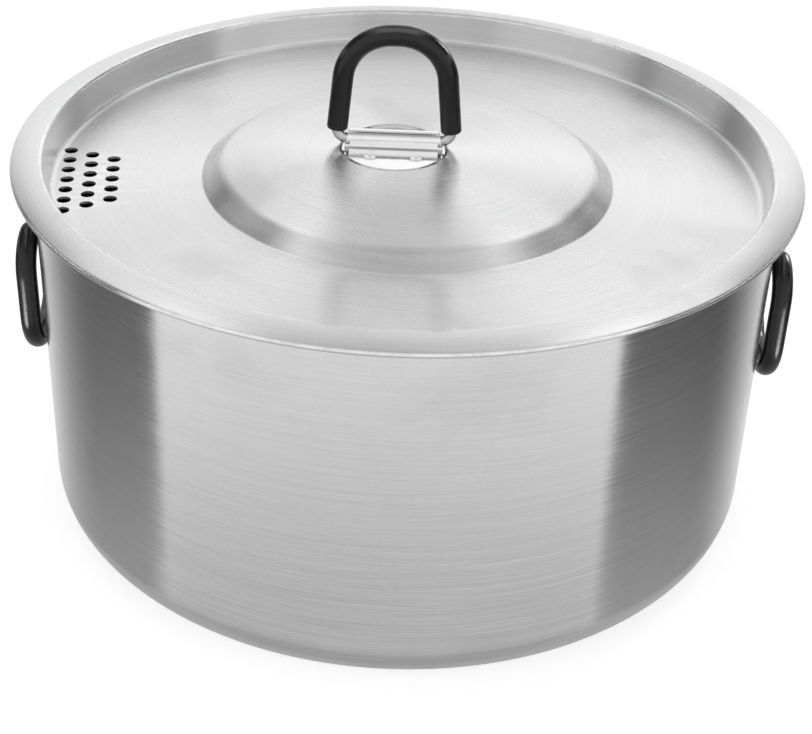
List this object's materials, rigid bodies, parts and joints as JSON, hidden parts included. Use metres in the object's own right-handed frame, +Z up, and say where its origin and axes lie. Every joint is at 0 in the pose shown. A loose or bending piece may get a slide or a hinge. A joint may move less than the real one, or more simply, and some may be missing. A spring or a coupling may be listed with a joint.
{
  "type": "camping pot",
  "caption": "Stainless steel camping pot with a straight wall, a sunken strainer lid, a folding lid handle and folding wire side handles in black sleeves.",
  "frame": {"origin": "centre of the pot's base, on the surface it stands on", "axes": "+Z up along the pot's axis, +X to the right-hand side handle, -Y towards the camera in the picture"},
  "size_m": [0.2138, 0.2126, 0.1375],
  "materials": {
    "pot_steel": "satin, brushed around the axis",
    "lid_steel": "satin, brushed around the axis",
    "clip_steel": "smooth bright sheet",
    "wire_steel": "bright drawn wire",
    "black_sleeve": "smooth, slightly glossy soft plastic tube"
  },
  "bodies": {
    "pot": {"pot_body": "pot_steel", "left_handle_clip": "clip_steel", "right_handle_clip": "clip_steel"},
    "left_handle": {"left_handle_wire": "wire_steel", "left_handle_sleeve": "black_sleeve"},
    "right_handle": {"right_handle_wire": "wire_steel", "right_handle_sleeve": "black_sleeve"},
    "lid": {"lid_shell": "lid_steel", "lid_handle_clip": "clip_steel"},
    "lid_handle": {"lid_handle_wire": "wire_steel", "lid_handle_sleeve": "black_sleeve"}
  },
  "joints": [
    {"name": "left_handle_lift", "type": "hinge", "parent": "pot", "child": "left_handle", "pos_m": [-0.10405, 0, 0.0765], "axis": [0, 1, 0], "range_deg": [0, 165]},
    {"name": "right_handle_lift", "type": "hinge", "parent": "pot", "child": "right_handle", "pos_m": [0.10405, 0, 0.0765], "axis": [0, -1, 0], "range_deg": [0, 165]},
    {"name": "lid_lift", "type": "slide", "parent": "pot", "child": "lid", "axis": [0, 0, 1], "range_m": [0, 0.12]},
    {"name": "lid_handle_fold", "type": "hinge", "parent": "lid", "child": "lid_handle", "pos_m": [-0.0042, 0.0015, 0.10506], "axis": [1, 0, 0], "range_deg": [-68, 68]}
  ]
}
